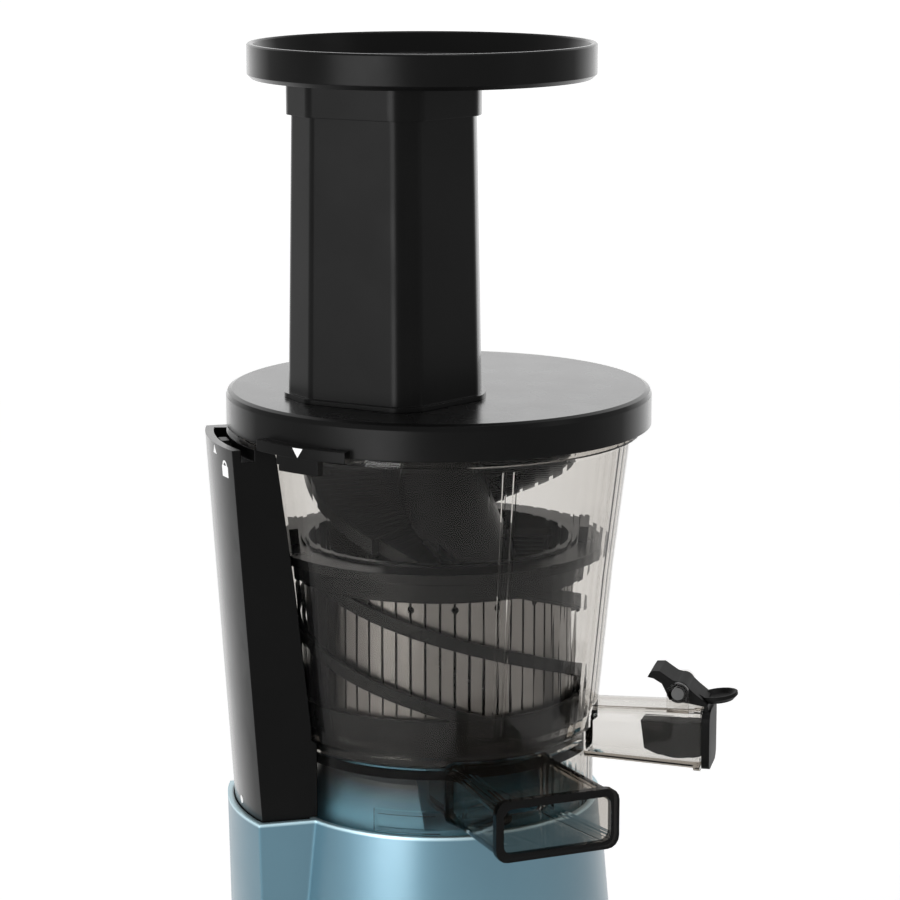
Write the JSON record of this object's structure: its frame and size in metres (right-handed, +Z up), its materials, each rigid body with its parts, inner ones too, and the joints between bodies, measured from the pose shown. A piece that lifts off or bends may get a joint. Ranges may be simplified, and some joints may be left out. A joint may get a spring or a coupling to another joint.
{
  "type": "cold press juicer",
  "caption": "Cold press juicer: blue motor base, clear bowl with auger, strainer and brush cage, residue and juice spouts, black lid with feed chute and tray.",
  "frame": {"origin": "centre of the foot ring, on the surface that the juicer stands on, on the axis of the bowl and the auger", "axes": "+Z up along the auger, -Y to the front where the knob and the residue spout are, +X towards the juice spout"},
  "size_m": [0.1755, 0.1664, 0.4105],
  "materials": {
    "black_plastic": "satin black moulded plastic",
    "dark_plastic": "dark moulded plastic",
    "white_plastic": "natural white acetal",
    "clear_plastic": "smoke grey clear plastic",
    "blue_plastic": "pearl light blue lacquered plastic",
    "screen_steel": "slotted stainless steel",
    "steel": "turned steel",
    "grey_metal": "die-cast and pressed metal",
    "bronze": "sintered bronze",
    "copper": "laminated core with copper windings",
    "rubber": "soft rubber",
    "green_board": "circuit board"
  },
  "bodies": {
    "base": {"base_shell": "blue_plastic", "base_deck": "blue_plastic", "base_cover": "dark_plastic", "foot_ring": "rubber", "cover_screws": "steel", "cord_gland": "rubber", "gear_case": "grey_metal", "gear_case_cover": "grey_metal", "deck_bearing": "bronze", "case_bearing": "bronze", "stage_pin": "steel", "motor_can": "grey_metal", "motor_magnets": "dark_plastic", "motor_bearings": "bronze", "switch_body": "dark_plastic", "control_board": "green_board", "interlock_switch": "dark_plastic"},
    "bowl": {"bowl": "clear_plastic", "residue_spout": "clear_plastic", "juice_spout": "clear_plastic", "lock_post": "black_plastic", "rod_spring": "steel", "bowl_seal": "rubber", "pulp_plug": "rubber", "cap_pin": "steel", "idler_pin": "steel", "strainer_frame": "dark_plastic", "strainer_screen": "screen_steel"},
    "lid": {"hopper_lid": "black_plastic", "feed_chute": "black_plastic", "lid_bush": "white_plastic"},
    "tray": {"feed_tray": "black_plastic"},
    "rod": {"interlock_rod": "white_plastic"},
    "cap": {"juice_cap": "black_plastic", "cap_plug": "rubber"},
    "brush": {"brush_frame": "dark_plastic", "brush_wipers": "rubber"},
    "idler": {"idler_gear": "white_plastic"},
    "auger": {"auger": "dark_plastic", "auger_gear": "white_plastic"},
    "drive": {"drive_shaft": "steel", "output_gear": "white_plastic"},
    "stage": {"stage_gear": "white_plastic"},
    "rotor": {"rotor": "copper", "motor_pinion": "steel", "motor_fan": "dark_plastic"},
    "knob": {"control_knob": "black_plastic", "knob_spindle": "steel"}
  },
  "joints": [
    {"name": "drive_spin", "type": "hinge", "parent": "base", "child": "drive", "pos_m": [0, 0, 0.1], "axis": [0, 0, 1], "continuous": true},
    {"name": "stage_spin", "type": "hinge", "parent": "base", "child": "stage", "pos_m": [0, 0.0264, 0.09], "axis": [0, 0, 1], "continuous": true},
    {"name": "rotor_spin", "type": "hinge", "parent": "base", "child": "rotor", "pos_m": [0, 0, 0.05], "axis": [0, 0, 1], "continuous": true},
    {"name": "bowl_lift", "type": "slide", "parent": "base", "child": "bowl", "axis": [0, 0, 1], "range_m": [0, 0.09]},
    {"name": "auger_spin", "type": "hinge", "parent": "bowl", "child": "auger", "pos_m": [0, 0, 0.2], "axis": [0, 0, 1], "continuous": true},
    {"name": "idler_spin", "type": "hinge", "parent": "bowl", "child": "idler", "pos_m": [-0.0126, 0.02969, 0.184], "axis": [0, 0, 1], "continuous": true},
    {"name": "brush_spin", "type": "hinge", "parent": "bowl", "child": "brush", "pos_m": [0, 0, 0.2], "axis": [0, 0, 1], "continuous": true},
    {"name": "lid_turn", "type": "hinge", "parent": "bowl", "child": "lid", "pos_m": [0, 0, 0.29], "axis": [0, 0, 1], "range_deg": [-36, 0]},
    {"name": "interlock_slide", "type": "slide", "parent": "bowl", "child": "rod", "axis": [0, 0, -1], "range_m": [0, 0.0034], "deforming": ["rod_spring"]},
    {"name": "tray_lift", "type": "slide", "parent": "lid", "child": "tray", "axis": [0, 0, 1], "range_m": [0, 0.03]},
    {"name": "juice_cap_swing", "type": "hinge", "parent": "bowl", "child": "cap", "pos_m": [0.08006, -0.01775, 0.2], "axis": [-0.2164, -0.9763, 0], "range_deg": [0, 55]},
    {"name": "knob_turn", "type": "hinge", "parent": "base", "child": "knob", "pos_m": [0, -0.0637, 0.052], "axis": [0, -1, 0], "range_deg": [-50, 50]}
  ],
  "couplings": [
    {"joint": "stage_spin", "follows": "drive_spin", "ratio": -4.5},
    {"joint": "rotor_spin", "follows": "drive_spin", "ratio": 20.25},
    {"joint": "auger_spin", "follows": "drive_spin", "ratio": 1},
    {"joint": "idler_spin", "follows": "drive_spin", "ratio": -1.6875},
    {"joint": "brush_spin", "follows": "drive_spin", "ratio": -0.45763},
    {"joint": "interlock_slide", "follows": "lid_turn", "m_per_rad": -0.0054059}
  ]
}
